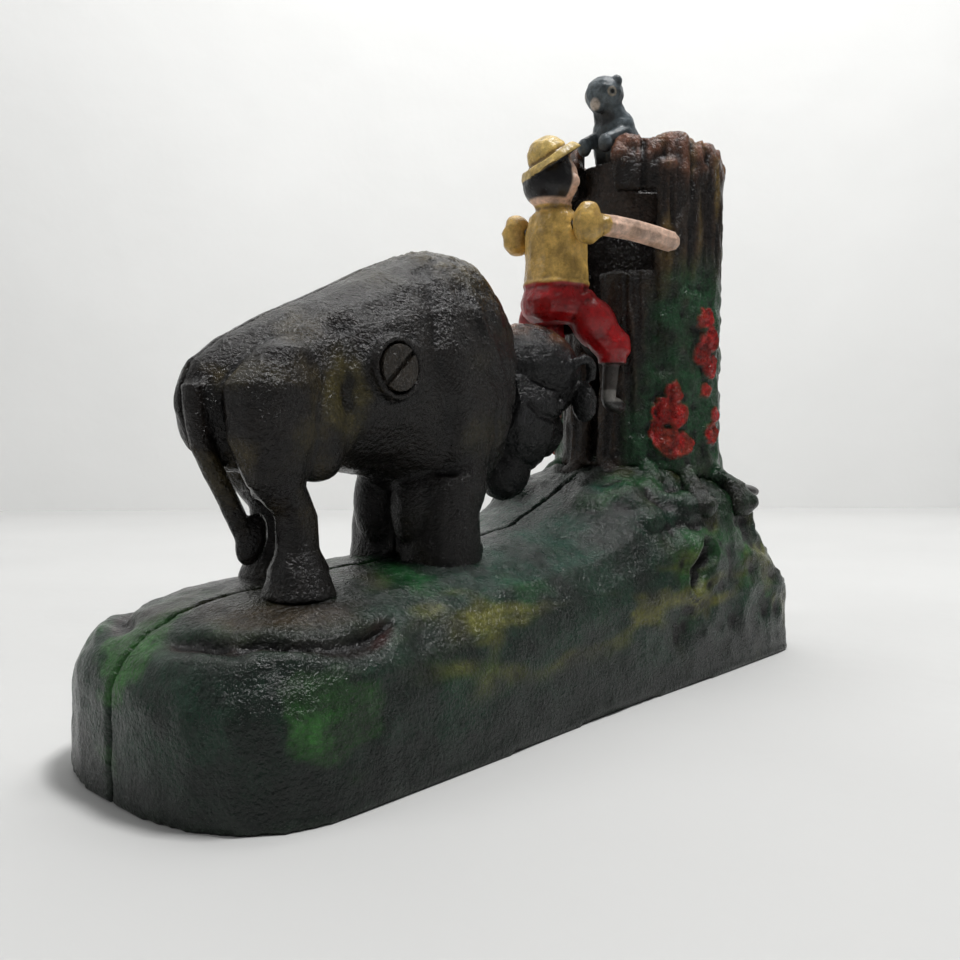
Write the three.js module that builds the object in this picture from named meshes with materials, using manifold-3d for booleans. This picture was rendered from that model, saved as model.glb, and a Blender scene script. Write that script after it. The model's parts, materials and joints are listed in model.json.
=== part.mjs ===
// Cast-iron mechanical bank: a bison lifts its head and butts a boy up a tree
// while a raccoon ducks down inside the hollow trunk.
// Millimetres, +Z up, +X towards the tree and the thumb lever.
import * as THREE from 'three';
import { mergeVertices } from 'three/addons/utils/BufferGeometryUtils.js';
import Module from 'manifold-3d';

const wasm = await Module();
wasm.setup();

// ---- Driving dimensions ----------------------------------------------------
const gap = 0.3; // between pieces that rest on each other
const runClearance = 0.5; // round pivots and guides
const wall = 2.6; // thickness of the hollow castings

const base = {
  length: 168.5,
  halfWidth: 29.5,
  waist: 1.2, // how far each side draws in at mid-length
  deck: 28.6, // height of the ground under the hind hooves
  hill: 11, // how far the hill at the tree rises above the ground line
  rearWall: 15, // upright part of the side at the rear
  frontWall: 25, // upright part of the side beside the tree
  frontFall: 12, // how far that side drops again at the front end
  draft: 0.9,
};
const leverReach = 28.5; // how far the thumb lever stands out of the front end
const rearX = -(base.length + leverReach) / 2;
const frontX = rearX + base.length;
const deck = base.deck;

const trunk = {
  radius: 19,
  ridge: 0.5, // depth of the bark flutes
  height: 90.5, // rim above the deck
  slot: 3.4, // width of the slot that the boy's slide runs in
};
trunk.x = frontX - 32.4;
trunk.front = trunk.x - trunk.radius;
trunk.bore = trunk.radius - trunk.ridge - wall;

const boyX = trunk.front - 13.1; // middle of the boy's body
const pivot = { x: boyX - 60.5, z: deck + 35.4 }; // screw that the head swings on
const headSweep = 39.4; // radius of the joint between mane and head
const screwRadius = 2.1;

const travel = { boy: 13, raccoon: 12 };
const pushWire = { x: pivot.x + 19, radius: 1.1 };
const leverPivot = { x: pushWire.x + 46, z: deck - 8.6, radius: 1.5 };
const rocker = { z: deck + 51.4, front: 9.2, thickness: 2.4, pin: 1.25, stud: 1.2, boss: 3.4 };
rocker.rear = rocker.front * travel.raccoon / travel.boy;

const plate = { bottom: 2.2, thickness: 1.5 };
const trap = { hole: 10.5, lap: 1.5, thickness: 1.1, reach: 13.5, rivet: 1.5 };
trap.pivotX = leverPivot.x + 26;
const plateScrew = { radius: 1.5, head: 2.8, headHeight: 1.2, post: 3.6 };
const treeScrew = { radius: 1.4, head: 2.6, headHeight: 1.4 };
const hoofTenon = 1.9;

// ---- Materials --------------------------------------------------------------
const paint = (color, roughness = 0.35, metalness = 0.1) =>
  new THREE.MeshStandardMaterial({ color, roughness, metalness });
const groundGreen = paint(0x1d4a2c);
const bisonBlack = paint(0x1c1815, 0.3);
const barkBrown = paint(0x2b221c, 0.4);
const jacketYellow = paint(0xb08a3c);
const fleshPink = paint(0xc99f84, 0.45);
const raccoonGrey = paint(0x4d575c, 0.45);
const castIron = paint(0x2a2826, 0.6, 0.6);
const screwSteel = paint(0x3a3835, 0.45, 0.8);

// ---- Solids from three.js geometry ----------------------------------------------
function signedVolume(points, index) {
  let volume = 0;
  const corner = [new THREE.Vector3(), new THREE.Vector3(), new THREE.Vector3()];
  for (let i = 0; i < index.length; i += 3) {
    corner.forEach((v, k) => v.fromArray(points, 3 * index[i + k]));
    volume += corner[0].dot(corner[1].cross(corner[2])) / 6;
  }
  return volume;
}

function solidOf(geometry) {
  const plain = geometry.clone();
  plain.deleteAttribute('normal');
  plain.deleteAttribute('uv');
  const merged = mergeVertices(plain, 1e-4);
  const points = merged.attributes.position.array;
  const index = merged.index.array;
  const kept = [];
  for (let i = 0; i < index.length; i += 3) {
    const [a, b, c] = [index[i], index[i + 1], index[i + 2]];
    if (a !== b && b !== c && c !== a) kept.push(a, b, c);
  }
  if (signedVolume(points, kept) < 0) kept.reverse();
  return new wasm.Manifold(new wasm.Mesh({
    numProp: 3,
    vertProperties: new Float32Array(points),
    triVerts: new Uint32Array(kept),
  }));
}

const joined = (...solids) => solids.reduce((whole, piece) => whole.add(piece));
const cutBy = (solid, ...cutters) => cutters.reduce((left, cutter) => left.subtract(cutter), solid);

function block([x0, x1], [y0, y1], [z0, z1]) {
  const box = new THREE.BoxGeometry(x1 - x0, y1 - y0, z1 - z0);
  return solidOf(box.translate((x0 + x1) / 2, (y0 + y1) / 2, (z0 + z1) / 2));
}

// An ellipsoid, tipped about Y by the given angle.
function lump([x, y, z], [rx, ry, rz], tip = 0, sides = 12) {
  const ball = new THREE.SphereGeometry(1, sides, Math.ceil(sides * 0.6));
  ball.rotateX(Math.PI / 2).scale(rx, ry, rz).rotateY(tip).translate(x, y, z);
  return solidOf(ball);
}

// A round bar between two points, which may taper.
function bar(from, to, radius, endRadius = radius, sides = 12) {
  const start = new THREE.Vector3(...from);
  const run = new THREE.Vector3(...to).sub(start);
  const cylinder = new THREE.CylinderGeometry(endRadius, radius, run.length(), sides);
  cylinder.translate(0, run.length() / 2, 0);
  cylinder.applyQuaternion(
    new THREE.Quaternion().setFromUnitVectors(new THREE.Vector3(0, 1, 0), run.clone().normalize()));
  return solidOf(cylinder.translate(start.x, start.y, start.z));
}

const crossBar = (x, z, radius, y0, y1, sides = 12) => bar([x, y0, z], [x, y1, z], radius, radius, sides);
const upBar = (x, y, radius, z0, z1, sides = 12) => bar([x, y, z0], [x, y, z1], radius, radius, sides);

// A skin over rings of points, each ring with the same count, closed at both ends.
function loft(rings) {
  const sides = rings[0].length;
  const skin = new THREE.CylinderGeometry(1, 1, 1, sides, rings.length - 1);
  const place = skin.attributes.position;
  let at = 0;
  const put = (point) => place.setXYZ(at++, point.x, point.y, point.z);
  for (const ring of rings) {
    for (let i = 0; i <= sides; i++) put(ring[i % sides]);
  }
  for (const ring of [rings[0], rings[rings.length - 1]]) {
    const middle = ring.reduce((sum, p) => sum.add(p), new THREE.Vector3()).divideScalar(sides);
    for (let i = 0; i < sides; i++) put(middle);
    for (let i = 0; i <= sides; i++) put(ring[i % sides]);
  }
  return solidOf(skin);
}

// Rings across X from [x, top, bottom, half-width] stations.
function lengthwise(stations, sides = 20, inset = 0) {
  return loft(stations.map(([x, top, bottom, half]) => {
    const a = Math.max(half - inset, 0.4);
    const b = Math.max((top - bottom) / 2 - inset, 0.4);
    return Array.from({ length: sides }, (_, i) => {
      const turn = (2 * Math.PI * i) / sides;
      return new THREE.Vector3(x, a * Math.sin(turn), (top + bottom) / 2 + b * Math.cos(turn));
    });
  }));
}

// Rings across Z from [z, x, y, radius along x, radius along y] stations.
function upright(stations, sides = 10) {
  return loft(stations.map(([z, x, y, rx, ry]) =>
    Array.from({ length: sides }, (_, i) => {
      const turn = (2 * Math.PI * i) / sides;
      return new THREE.Vector3(x + rx * Math.cos(turn), y + ry * Math.sin(turn), z);
    })));
}

// A side outline in X and Z, made as thick as given between two Y values.
function sidePlate(points, y0, y1) {
  const outline = new THREE.Shape(points.map(([x, z]) => new THREE.Vector2(x, z)));
  const flat = new THREE.ExtrudeGeometry(outline, { depth: y1 - y0, bevelEnabled: false });
  return solidOf(flat.rotateX(Math.PI / 2).translate(0, y1, 0));
}

// A round bar bent along points.
function bentBar(points, radius, sides = 10, steps = 14) {
  const path = new THREE.CatmullRomCurve3(points.map((p) => new THREE.Vector3(...p)));
  const round = new THREE.Shape().absarc(0, 0, radius, 0, 2 * Math.PI, false);
  return solidOf(new THREE.ExtrudeGeometry(round, {
    steps, curveSegments: sides / 2, extrudePath: path, bevelEnabled: false,
  }));
}

// One side of a solid that is split on the middle plane: side is -1 for right, 1 for left.
const far = 400;
function half(solid, side) {
  const edge = gap / 2;
  const keep = side < 0 ? [-far, -edge] : [edge, far];
  return solid.intersect(block([-far, far], keep, [-far, far]));
}

const group = new THREE.Group();
function piece(name, solid, material) {
  const mesh = solid.getMesh();
  const geometry = new THREE.BufferGeometry();
  geometry.setAttribute('position', new THREE.BufferAttribute(mesh.vertProperties, 3));
  geometry.setIndex(new THREE.BufferAttribute(mesh.triVerts, 1));
  const node = new THREE.Mesh(geometry, material);
  node.name = name;
  group.add(node);
}

// ---- Ground of the base ---------------------------------------------------------------
const rearEnd = { x: rearX + 22, reach: 22, power: 2.5 };
const frontEnd = { x: frontX - 14, reach: 14, power: 2.6 };
const frontSlope = { x: frontX - 36, reach: 36, power: 2.3 };
const ramp = (x, from, to) => THREE.MathUtils.smoothstep(x, from, to);

function halfWidthAt(x) {
  const middle = (rearEnd.x + frontEnd.x) / 2;
  const drawn = base.waist * Math.exp(-(((x - middle) / 30) ** 2));
  const end = x < rearEnd.x ? rearEnd : frontEnd;
  const past = Math.max(x < rearEnd.x ? rearEnd.x - x : x - frontEnd.x, 0) / end.reach;
  return (base.halfWidth - drawn) * (1 - Math.min(past, 1) ** end.power) ** (1 / end.power);
}

const groundLine = (x) => deck - 2.6 * (1 - ramp(x, rearX, pivot.x - 15))
  + 0.075 * Math.max(x - pivot.x + 16, 0) * (1 - ramp(x, trunk.x, frontX))
  + base.hill * ramp(x, boyX - 20, trunk.front + 2);
const wallTop = (x) => base.rearWall + (base.frontWall - base.rearWall) * ramp(x, boyX - 10, trunk.x)
  - base.frontFall * ramp(x, trunk.x + 8, frontX);

function groundAt(x, y) {
  const end = x < rearEnd.x ? rearEnd : frontSlope;
  const past = Math.max(x < rearEnd.x ? rearEnd.x - x : x - frontSlope.x, 0) / end.reach;
  const across = Math.abs(y) / (base.halfWidth - base.waist * 0.5);
  const out = Math.min((past ** end.power + across ** end.power) ** (1 / end.power), 1);
  return wallTop(x) + (groundLine(x) - wallTop(x)) * Math.sqrt(1 - out ** 3);
}

function baseSolid(inset, floor) {
  const stations = [];
  const ends = [88, 76, 62, 46, 30, 15];
  for (const angle of ends) {
    stations.push(rearEnd.x - (rearEnd.reach - inset) * Math.sin(THREE.MathUtils.degToRad(angle)));
  }
  const straight = 12;
  for (let i = 0; i <= straight; i++) {
    stations.push(THREE.MathUtils.lerp(rearEnd.x, frontEnd.x, i / straight));
  }
  for (const part of [0.3, 0.55, 0.75, 0.88, 0.96, 1]) {
    stations.push(frontEnd.x + (frontEnd.reach - inset) * part);
  }
  const across = 10;
  return loft(stations.map((x) => {
    const outer = rearEnd.reach / (rearEnd.reach - inset);
    const grown = x < rearEnd.x ? rearEnd.x + (x - rearEnd.x) * outer
      : x > frontEnd.x ? frontEnd.x + (x - frontEnd.x) * frontEnd.reach / (frontEnd.reach - inset) : x;
    const wide = Math.max(halfWidthAt(grown) * (1 - inset / base.halfWidth), x > frontEnd.x ? 9 : 0.8);
    const ring = [];
    for (let i = 0; i <= across; i++) {
      const y = -wide * Math.cos((Math.PI * i) / across);
      const top = Math.max(groundAt(grown, y * (1 + inset / wide)) - inset, floor + 3);
      const lean = base.draft * Math.min(1, Math.abs(y) / base.halfWidth);
      ring.push(new THREE.Vector3(x, y - Math.sign(y) * lean, top));
    }
    ring.push(new THREE.Vector3(x, wide, floor));
    ring.push(new THREE.Vector3(x, -wide, floor));
    return ring;
  }));
}

const groundSolid = baseSolid(0, 0);
const raisedGround = groundSolid.translate([0, 0, gap]);

// ---- Base castings -----------------------------------------------------------------------
const hoof = { hindX: pivot.x - 16.5, stagger: 8, foreX: pivot.x + 19.5, y: 9.2 };
const hoovesOn = (side) => [hoof.hindX + (side > 0 ? hoof.stagger : 0), hoof.foreX];
const coinDrop = 10.5; // hole in the deck under the hollow trunk
const treeScrewPlaces = [-1, 1].map((side) => [trunk.x + 11, side * 8.4]);
const plateScrewPlaces = [];
const screwInset = { rear: 26, rearSide: 15, front: 11.5, frontSide: 20 };
for (const side of [-1, 1]) plateScrewPlaces.push([rearX + screwInset.rear, side * screwInset.rearSide]);
for (const side of [-1, 1]) plateScrewPlaces.push([frontX - screwInset.front, side * screwInset.frontSide]);
const leverSlot = { half: 2.3, bottom: 21, top: deck + 8, depth: 14 };
const leverThickness = 3.2;

function baseHalf(side) {
  let shell = groundSolid.subtract(baseSolid(wall, -5));
  for (const [x, y] of plateScrewPlaces) {
    const post = upBar(x, y, plateScrew.post, plate.bottom + plate.thickness + gap, deck + 40);
    shell = shell.add(post.intersect(groundSolid));
  }
  const lugBottom = leverPivot.z - 4.5;
  const lug = block([leverPivot.x - 4.5, leverPivot.x + 4.5], [side * 6 - 3, side * 6 + 3],
    [lugBottom, deck + 40]).intersect(groundSolid);
  shell = shell.add(lug);
  const cutters = [
    crossBar(leverPivot.x, leverPivot.z, leverPivot.radius + 0.1, -8, 8),
    upBar(trunk.x, 0, coinDrop, deck - 12, deck + 30, 24),
    upBar(pushWire.x, 0, pushWire.radius + 1.2, deck - 12, deck + 12),
    block([frontX - leverSlot.depth, frontX + 5], [-leverSlot.half, leverSlot.half], [leverSlot.bottom, leverSlot.top]),
  ];
  for (const x of hoovesOn(side)) {
    cutters.push(upBar(x, side * hoof.y, hoofTenon + gap, deck - 15, deck + 12));
  }
  for (const [x, y] of treeScrewPlaces) {
    cutters.push(upBar(x, y, treeScrew.radius + gap, deck - 12, deck + 30));
  }
  for (const [x, y] of plateScrewPlaces) {
    cutters.push(upBar(x, y, plateScrew.radius + 0.15, -1, plate.bottom + 9));
  }
  return half(cutBy(shell, ...cutters), side);
}

piece('base_right_half', baseHalf(-1), groundGreen);
piece('base_left_half', baseHalf(1), groundGreen);

// ---- Base plate, its screws and the coin trap -------------------------------------------------
const trapCentre = trap.pivotX - trap.reach;
const plateTop = plate.bottom + plate.thickness;
const plateBlank = baseSolid(wall + 1.1, -5).intersect(
  block([-far, far], [-far, far], [plate.bottom, plateTop]));
piece('base_plate', cutBy(plateBlank,
  upBar(trapCentre, 0, trap.hole, -1, deck, 28),
  upBar(trap.pivotX, 0, trap.rivet + 0.1, -1, deck),
  ...plateScrewPlaces.map(([x, y]) => upBar(x, y, plateScrew.radius + gap, -1, deck))), castIron);
plateScrewPlaces.forEach(([x, y], i) => {
  const headTop = plate.bottom - 0.1;
  const headBottom = headTop - plateScrew.headHeight;
  const screw = joined(
    upBar(x, y, plateScrew.head, headBottom, headTop),
    upBar(x, y, plateScrew.radius, headBottom, plateTop + 4.5));
  const driverSlot = block([x - 4, x + 4], [y - 0.4, y + 0.4], [headBottom - 1, headBottom + 0.5]);
  piece(`base_plate_screw_${i + 1}`, screw.subtract(driverSlot), screwSteel);
});

const doorTop = plate.bottom - 0.1;
const doorBottom = doorTop - trap.thickness;
const door = joined(
  upBar(trapCentre, 0, trap.hole + trap.lap, doorBottom, doorTop, 28),
  block([trapCentre, trap.pivotX], [-4, 4], [doorBottom, doorTop]),
  upBar(trap.pivotX, 0, 4, doorBottom, doorTop));
piece('coin_trap_door', door.subtract(upBar(trap.pivotX, 0, trap.rivet + 0.1, -1, deck)), castIron);
piece('coin_trap_rivet', joined(
  upBar(trap.pivotX, 0, 2.8, 0.2, doorBottom - 0.1),
  upBar(trap.pivotX, 0, trap.rivet, 0.2, plateTop + 0.9),
  upBar(trap.pivotX, 0, 2.6, plateTop + 0.1, plateTop + 1)), screwSteel);

// ---- Bison body -----------------------------------------------------------------------------
// [distance ahead of the pivot, top, bottom, half-width], heights above the deck
const bodyStations = [
  [-31, 32, 27.5, 2.2], [-29.3, 36, 22, 4.2], [-24, 40, 18.5, 7.4], [-15, 44.6, 17.5, 11.8],
  [-5, 49, 18, 13.6], [5, 53.8, 17, 14.6], [14, 57.4, 12.5, 15.6], [21, 58.9, 10, 15.8],
  [28, 58.2, 11, 14], [33, 54.6, 15.5, 11.5], [36.6, 49, 21.5, 7.5], [38.2, 43, 27, 3.5],
].map(([x, top, bottom, wide]) => [pivot.x + x, deck + top, deck + bottom, wide]);

function legStations(x, y, foot, hock, thigh) {
  return [
    [deck - 2, x, y, foot, foot * 0.85], [deck + 3.5, x, y, foot, foot * 0.85],
    [deck + 6.5, x, y, foot * 0.72, foot * 0.62], [deck + 12, x - 0.4, y, foot * 0.7, foot * 0.6],
    [deck + 17, x - hock, y, foot * 0.95, foot * 0.72], [deck + 24, x - hock, y, thigh, foot],
    [deck + 32, x - hock, y, thigh * 1.05, foot], [deck + 38, x - hock * 0.6, y, thigh * 0.5, foot * 0.6],
  ];
}

const armSlot = { half: 3.2, bottom: pivot.z - 5.5, top: pivot.z + 15 };

function bodyHalf(side) {
  const [hindX, foreX] = hoovesOn(side);
  const outer = joined(
    lengthwise(bodyStations, 18),
    upright(legStations(hindX, side * hoof.y, 5.2, 4, 8.4)),
    upright(legStations(foreX, side * hoof.y, 5.2, -1, 7)),
    upright([[deck - 2, pushWire.x - 1, 0, 6.5, 6.5], [deck + 8, pushWire.x - 1, 0, 6, 7],
      [deck + 20, pushWire.x + 1, 0, 9, 9]], 14));
  const hollowStations = bodyStations.slice(2, -1);
  const hollow = lengthwise(hollowStations, 12, wall);
  let shell = outer.subtract(hollow);
  const inward = side * (armSlot.half + 0.2);
  const outward = side * 13;
  const post = crossBar(pivot.x, pivot.z, 4.6, Math.min(inward, outward), Math.max(inward, outward));
  const ring = crossBar(pivot.x, pivot.z, 5.4, ...(side < 0 ? [-15, -10] : [10, 14.6]), 20);
  shell = joined(shell, post, ring);
  const tail = bentBar([
    [pivot.x - 30.6, -2.6, pivot.z - 3], [pivot.x - 29.6, -3, pivot.z - 12],
    [pivot.x - 26, -3, pivot.z - 19], [pivot.x - 21.8, -3, pivot.z - 27]], 1.8, 8, 8);
  const tuft = lump([pivot.x - 20.8, -3, pivot.z - 27.2], [2.6, 2.2, 4.4], 0.3, 12);
  if (side < 0) shell = joined(shell, tail, tuft);
  const throughTo = side < 0 ? 0 : 11.5;
  const cutters = [
    raisedGround,
    block([pivot.x + 26, pivot.x + 60], [-armSlot.half, armSlot.half], [armSlot.bottom, armSlot.top]),
    upBar(pushWire.x, 0, pushWire.radius + 1.2, deck - 5, deck + 24),
    crossBar(pivot.x, pivot.z, screwRadius + 0.1, side < 0 ? -20 : -1, throughTo, 20),
  ];
  if (side < 0) cutters.push(crossBar(pivot.x, pivot.z, 4.2, -20, -13.4, 20));
  const tenons = [hindX, foreX].map((x) =>
    upBar(x, side * hoof.y, hoofTenon, deck - wall - 3.5, deck + 5));
  return half(joined(cutBy(shell, ...cutters), ...tenons), side);
}

piece('bison_body_right_half', bodyHalf(-1), bisonBlack);
piece('bison_body_left_half', bodyHalf(1), bisonBlack);

const bodyScrew = joined(
  crossBar(pivot.x, pivot.z, 3.9, -15.2, -13.7, 20),
  crossBar(pivot.x, pivot.z, screwRadius, -15.2, 11, 20));
const screwSlot = block([-6, 6], [-16, -14.4], [-0.5, 0.5]).rotate([0, -42, 0]);
piece('bison_body_screw', bodyScrew.subtract(screwSlot.translate([pivot.x, 0, pivot.z])), screwSteel);

// ---- Bison head ----------------------------------------------------------------------------------
function bisonHead() {
  const [x, z] = [pivot.x + 50.5, deck + 37];
  const skull = joined(
    lump([x, 0, z], [12.4, 11, 10], 0.25, 16),
    lump([x - 5, 0, z - 8], [10.5, 9.8, 13], 0, 14),
    lump([x + 2.5, 0, z - 12], [6.4, 6, 6.2], 0.3, 12),
    lump([x - 8, 0, z - 20], [6, 5, 6.5], 0.3, 12));
  let head = cutBy(skull, crossBar(pivot.x, pivot.z, headSweep, -20, 20, 36));
  for (const side of [-1, 1]) {
    const horn = bentBar([
      [x + 1.4, side * 9.4, z - 0.4], [x + 1.6, side * 12.2, z + 2.4], [x + 4.4, side * 13, z + 2.2],
      [x + 5.4, side * 12.4, z - 1.6]], 1.1, 8, 7);
    const ear = lump([x + 5, side * 11, z - 6], [2.4, 3, 4.4], -0.1, 10);
    head = joined(head, horn, ear);
  }
  const arm = sidePlate([
    [pivot.x - 4, pivot.z - 3.4], [pivot.x + 30, pivot.z - 3.2], [x - 2, pivot.z - 3],
    [x - 2, pivot.z + 2.6], [pivot.x + 30, pivot.z + 2.8], [pivot.x - 4, pivot.z + 3.4]], -2.4, 2.4);
  const eye = crossBar(pivot.x, pivot.z, 5, -2.4, 2.4, 20);
  return cutBy(joined(head, arm, eye),
    crossBar(pivot.x, pivot.z, screwRadius + 0.12, -5, 5, 20),
    crossBar(pushWire.x, pivot.z, pushWire.radius + 0.8, -5, 5));
}
piece('bison_head', bisonHead(), bisonBlack);

// ---- Push wire from the lever up through the chest to the head's arm --------------------------------
const wireBottom = leverPivot.z - 2;
const wireSide = 4; // the ends turn sideways through the lever and the arm
piece('push_wire', joined(
  crossBar(pushWire.x, wireBottom, pushWire.radius, -wireSide, 0.4),
  bar([pushWire.x, -wireSide, wireBottom - pushWire.radius * 0.5],
    [pushWire.x, -wireSide, deck - 7], pushWire.radius, pushWire.radius, 12),
  bar([pushWire.x, -wireSide, deck - 7.4], [pushWire.x, 0, deck - 5.4], pushWire.radius, pushWire.radius, 12),
  upBar(pushWire.x, 0, pushWire.radius, deck - 5.8, pivot.z - 6.4, 12),
  bar([pushWire.x, 0, pivot.z - 6.8], [pushWire.x, -wireSide, pivot.z - 4.6], pushWire.radius,
    pushWire.radius, 12),
  bar([pushWire.x, -wireSide, pivot.z - 5], [pushWire.x, -wireSide, pivot.z + pushWire.radius * 0.5],
    pushWire.radius, pushWire.radius, 12),
  crossBar(pushWire.x, pivot.z, pushWire.radius, -wireSide, 2.2)), screwSteel);

// ---- Thumb lever and its pin ----------------------------------------------------------------------------
const leverEnd = { x: frontX + leverReach, z: deck + 7.6 };
const leverBar = sidePlate([
  [pushWire.x - 3.4, wireBottom - 3], [leverPivot.x - 5, leverPivot.z - 4], [leverPivot.x + 5, leverPivot.z - 4],
  [leverPivot.x + 34, leverPivot.z - 2], [frontX - 4, leverEnd.z - 7], [leverEnd.x - 12, leverEnd.z - 2],
  [leverEnd.x - 12, leverEnd.z + 1.4], [frontX - 5, leverEnd.z - 2.6], [leverPivot.x + 33, leverPivot.z + 2.6],
  [leverPivot.x + 5, leverPivot.z + 3.4], [leverPivot.x - 5, leverPivot.z + 3.4],
  [pushWire.x - 3.4, wireBottom + 2.6]], -leverThickness / 2, leverThickness / 2);
const thumbPad = lump([leverEnd.x - 8.5, 0, leverEnd.z - 0.2], [8.5, 4.6, 2.2], 0.05, 18);
piece('thumb_lever', cutBy(joined(leverBar, thumbPad),
  crossBar(leverPivot.x, leverPivot.z, leverPivot.radius + 0.1, -6, 6),
  crossBar(pushWire.x, wireBottom, pushWire.radius + 0.7, -6, 6)), castIron);
piece('lever_pivot_pin', crossBar(leverPivot.x, leverPivot.z, leverPivot.radius, -7.6, 7.6), screwSteel);

// ---- Tree trunk --------------------------------------------------------------------------------------------
const windowOpening = { half: 13, bottom: deck + 60.4, top: deck + 79, notch: 5.4 };

function trunkOuter() {
  const heights = [-6, 8, 14, 24, trunk.height - 12.5, trunk.height - 3.5, trunk.height];
  const spread = [3.2, 1.8, 1.0, 0.2, 0.1, 0.2, -1.6];
  const sides = 36;
  return loft(heights.map((height, row) => Array.from({ length: sides }, (_, i) => {
    const turn = (2 * Math.PI * i) / sides;
    const radius = trunk.radius + spread[row] + trunk.ridge * Math.cos(9 * turn);
    return new THREE.Vector3(
      trunk.x + radius * Math.cos(turn), radius * Math.sin(turn), deck + height);
  })));
}
const trunkSolid = trunkOuter();

function trunkHalf(side) {
  const [x, z] = [trunk.x, rocker.z];
  let shell = trunkSolid.subtract(upBar(x, 0, trunk.bore, deck - 20, deck + 120, 32));
  const bossEnds = [side * 7, side * (trunk.radius - 1.5)].sort((a, b) => a - b);
  const boss = crossBar(x, z, rocker.boss, ...bossEnds);
  const posts = treeScrewPlaces.filter(([, y]) => y * side > 0).map(([px, py]) =>
    upBar(px, py, 3.2, deck, deck + 26));
  const web = block([x + 11, x + 18], [side * 8.4 - 1.6, side * 8.4 + 1.6], [deck, deck + 26]);
  shell = joined(shell, boss, ...posts, web.intersect(trunkSolid));
  const cutters = [
    raisedGround,
    crossBar(x, z, rocker.pin + 0.1, -13, 13),
    block([x - 30, x - 8], [-trunk.slot / 2, trunk.slot / 2], [deck + 17.5, windowOpening.bottom + 1]),
    block([x - 30, x - 8], [-windowOpening.half, windowOpening.half],
      [windowOpening.bottom, windowOpening.top]),
    block([x - 30, x - 8], [-windowOpening.notch, windowOpening.notch], [windowOpening.top - 1, deck + 120]),
  ];
  for (const [px, py] of treeScrewPlaces) {
    cutters.push(upBar(px, py, treeScrew.radius + 0.1, deck - 5, deck + 24));
  }
  return half(cutBy(shell, ...cutters), side);
}
piece('tree_trunk_right_half', trunkHalf(-1), barkBrown);
piece('tree_trunk_left_half', trunkHalf(1), barkBrown);

treeScrewPlaces.forEach(([x, y], i) => {
  const headTop = deck + 2;
  piece(`tree_screw_${i ? 'left' : 'right'}`, joined(
    upBar(x, y, treeScrew.radius, headTop - treeScrew.headHeight, deck + 22),
    upBar(x, y, treeScrew.head, headTop - treeScrew.headHeight, headTop)), screwSteel);
});

// ---- Boy ---------------------------------------------------------------------------------------------------
const shoulder = { x: boyX - 2.2, z: deck + 68.5, inner: 7.7, middle: 9.8 };

function boyBody() {
  const x = boyX;
  const at = (height) => deck + height;
  const legY = 10;
  const body = joined(
    upright([
      [at(48.4), x - 1, 0, 4, 5], [at(50), x - 1.2, 0, 6.6, 7.2], [at(52.6), x - 1, 0, 7.3, 7.8],
      [at(56), x - 0.6, 0, 6.7, 7.1], [at(62), x - 0.6, 0, 6.2, 6.8], [at(67), x - 0.8, 0, 6.1, 7.2],
      [at(71), x - 1.2, 0, 4.9, 5.8], [at(73.4), x - 1.6, 0, 3, 3.4]], 12),
    bar([x - 1.6, 0, at(72)], [x - 2, 0, at(77)], 2.9, 2.9, 10),
    lump([x - 2.2, 0, at(78.8)], [6, 5.8, 6.2], 0, 12));
  const hatTip = -THREE.MathUtils.degToRad(33);
  const hatTurn = -THREE.MathUtils.degToRad(30);
  const brim = new THREE.CylinderGeometry(6.4, 7.5, 1.6, 16).rotateX(Math.PI / 2);
  const crown = new THREE.SphereGeometry(4.8, 12, 7).rotateX(Math.PI / 2);
  crown.translate(0, 0, 0.6);
  const hat = [brim, crown].map((shape) =>
    solidOf(shape.rotateY(hatTip).rotateZ(hatTurn).translate(x - 2.9, 0, at(82.9))));
  const limbs = [-1, 1].map((side) => joined(
    bar([x + 0.5, side * 4.4, at(52.6)], [x + 6.4, side * legY, at(43.2)], 4.4, 3.8, 10),
    lump([x + 6.4, side * legY, at(43.2)], [3.9, 3.7, 4], 0, 10),
    bar([x + 6.5, side * legY, at(42)], [x + 5.2, side * legY, at(31.4)], 2, 1.6, 8),
    lump([x + 7.4, side * legY, at(30.6)], [4, 1.9, 1.8], 0.25, 8)));
  const saddle = crossBar(pivot.x, pivot.z, 62.6, -5, 5, 48);
  const seatCut = saddle.intersect(block([x - 30, x + 6.5], [-5, 5], [at(30), at(48.2)]));
  return cutBy(joined(body, ...hat, ...limbs), seatCut,
    crossBar(shoulder.x, shoulder.z, 1.15, -20, 20),
    block([x + 5.6, x + 30], [-5, 5], [at(40), at(53.6)]),
    bar([x, 0, at(50.6)], [x + 30, 0, at(50.6)], 1.15));
}
piece('boy_body', boyBody(), jacketYellow);

function boyArm(side) {
  const reach = trunk.radius + trunk.ridge + 3.6;
  const handTurn = THREE.MathUtils.degToRad(130);
  const hand = [trunk.x + reach * Math.cos(handTurn), side * reach * Math.sin(handTurn), shoulder.z - 2.2];
  const start = [shoulder.x, side * shoulder.middle, shoulder.z];
  const elbow = [shoulder.x + 9.6, side * (shoulder.middle + 4.1), shoulder.z - 0.6];
  const arm = joined(
    lump([shoulder.x, side * shoulder.middle, shoulder.z - 0.2], [3.4, 3, 4.4], 0, 12),
    bentBar([start, elbow, hand], 2.4, 8, 6),
    lump(hand, [2.4, 2.1, 2.1], 0, 8));
  return cutBy(arm,
    block([-far, far], side < 0 ? [-shoulder.inner, 20] : [-20, shoulder.inner], [-far, far]),
    crossBar(shoulder.x, shoulder.z, 1.1, -20, 20));
}
piece('boy_right_arm', boyArm(-1), fleshPink);
piece('boy_left_arm', boyArm(1), fleshPink);
piece('shoulder_rivet', crossBar(shoulder.x, shoulder.z, 1, -12.2, 12.2, 12), screwSteel);

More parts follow.
